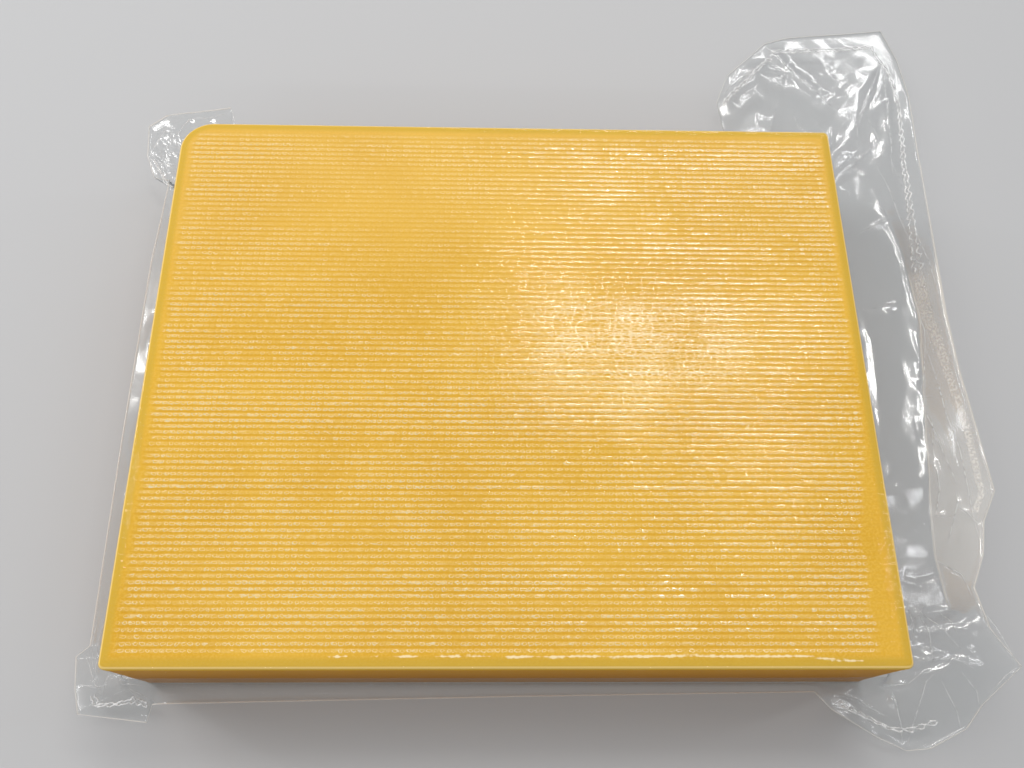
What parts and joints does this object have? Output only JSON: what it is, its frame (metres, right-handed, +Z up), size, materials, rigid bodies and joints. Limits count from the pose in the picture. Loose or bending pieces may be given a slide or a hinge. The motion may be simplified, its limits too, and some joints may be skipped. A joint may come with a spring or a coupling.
{
  "type": "raclette cheese block in vacuum pouch",
  "caption": "Rectangular block of raclette cheese with a net-marked top, sealed in a clear vacuum pouch with loose film at its sides and corners.",
  "frame": {"origin": "centre of the cheese block's flat underside, which rests on the table", "axes": "+X along the imprinted rows towards the pouch's mouth, +Y to the back, +Z up"},
  "size_m": [0.479, 0.452, 0.065],
  "materials": {
    "cheese": "pale yellow semi-hard cheese, moist, with a net imprint, seen through clinging clear film",
    "clear_film": "thin clear glossy plastic film, creased"
  },
  "bodies": {
    "root": {"cheese_block": "cheese", "vacuum_pouch": "clear_film"}
  },
  "joints": []
}
